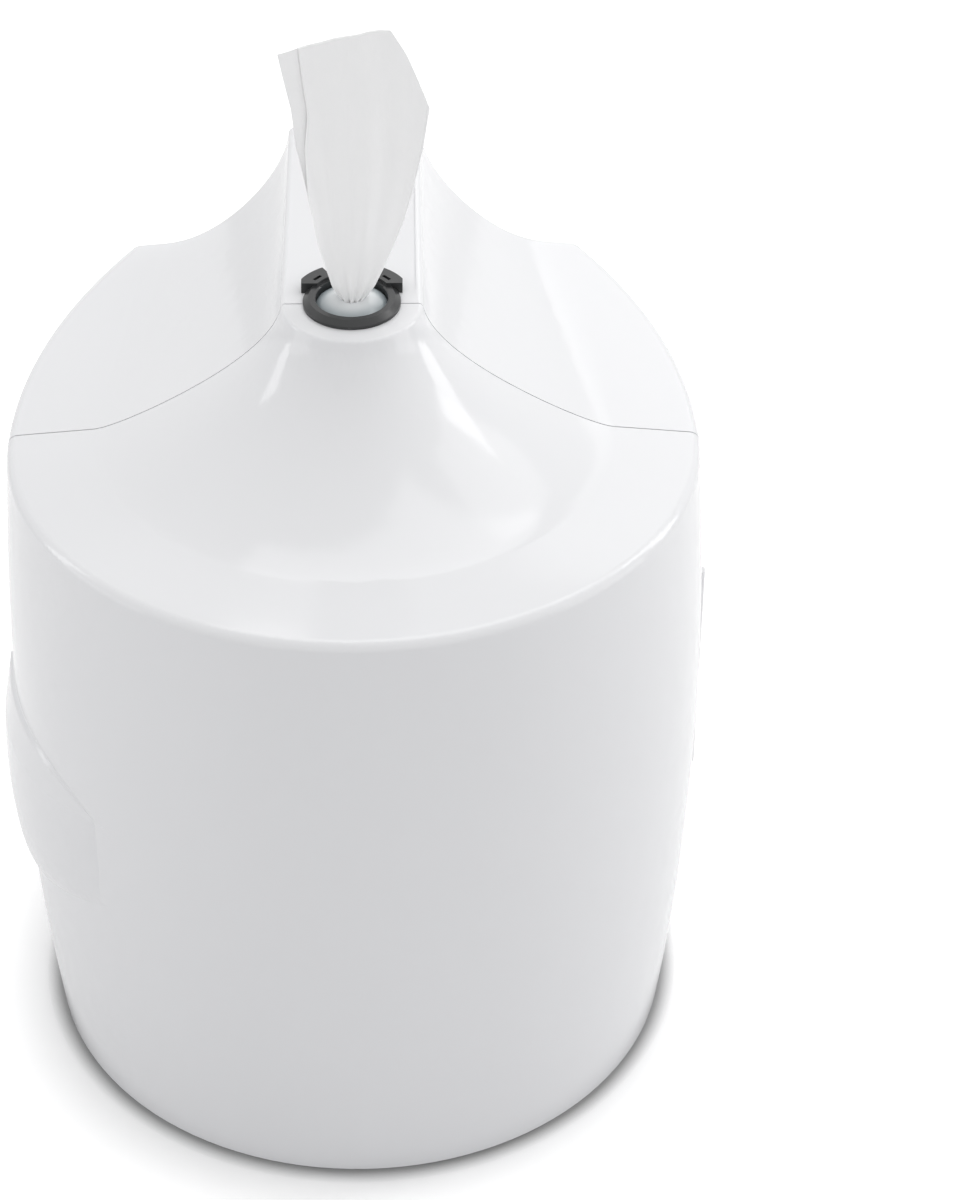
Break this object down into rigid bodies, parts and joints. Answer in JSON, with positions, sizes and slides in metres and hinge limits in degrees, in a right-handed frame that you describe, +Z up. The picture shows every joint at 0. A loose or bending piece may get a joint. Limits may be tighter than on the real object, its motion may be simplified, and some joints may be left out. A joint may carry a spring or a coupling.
{
  "type": "wall-mounted wipes dispenser",
  "caption": "Barrel-shaped wall dispenser for a centre-pull roll of wipes, with a nozzle on top and a side-hinged front cover with a finger grip.",
  "frame": {"origin": "middle of the flat underside of the base tray, straight below the nozzle", "axes": "+X to the viewer's right, -Y towards the viewer, +Y into the wall, +Z up"},
  "size_m": [0.2876, 0.2779, 0.4535],
  "materials": {
    "white_abs": "moulded, high gloss",
    "black_nylon": "moulded, satin gloss",
    "grey_elastomer": "smooth, slightly translucent",
    "zinc_steel": "zinc plated",
    "chrome_zinc": "polished plate",
    "nonwoven": "soft nonwoven cloth",
    "film": "thin clear film"
  },
  "bodies": {
    "housing": {"rear_housing": "white_abs", "base_tray": "white_abs", "tray_screws": "zinc_steel", "nozzle_collar": "black_nylon", "nozzle_dome": "grey_elastomer", "nozzle_retainer": "black_nylon", "hinge_pin": "zinc_steel", "lock_barrel": "chrome_zinc", "lock_washer": "zinc_steel", "lock_nut": "zinc_steel", "wipe_roll": "nonwoven", "refill_bag": "film", "wipe_strand": "nonwoven", "wipe_tail": "nonwoven"},
    "cover": {"front_cover": "white_abs", "keeper": "zinc_steel", "keeper_screws": "zinc_steel"},
    "lock": {"lock_core": "chrome_zinc", "lock_cam": "zinc_steel", "cam_screw": "zinc_steel"}
  },
  "joints": [
    {"name": "cover_hinge", "type": "hinge", "parent": "housing", "child": "cover", "pos_m": [0.1389, 0, 0.16], "axis": [0, 0, 1], "range_deg": [0, 110]},
    {"name": "lock_turn", "type": "hinge", "parent": "housing", "child": "lock", "pos_m": [-0.128, 0.028, 0.108], "axis": [-1, 0, 0], "range_deg": [0, 90]}
  ]
}
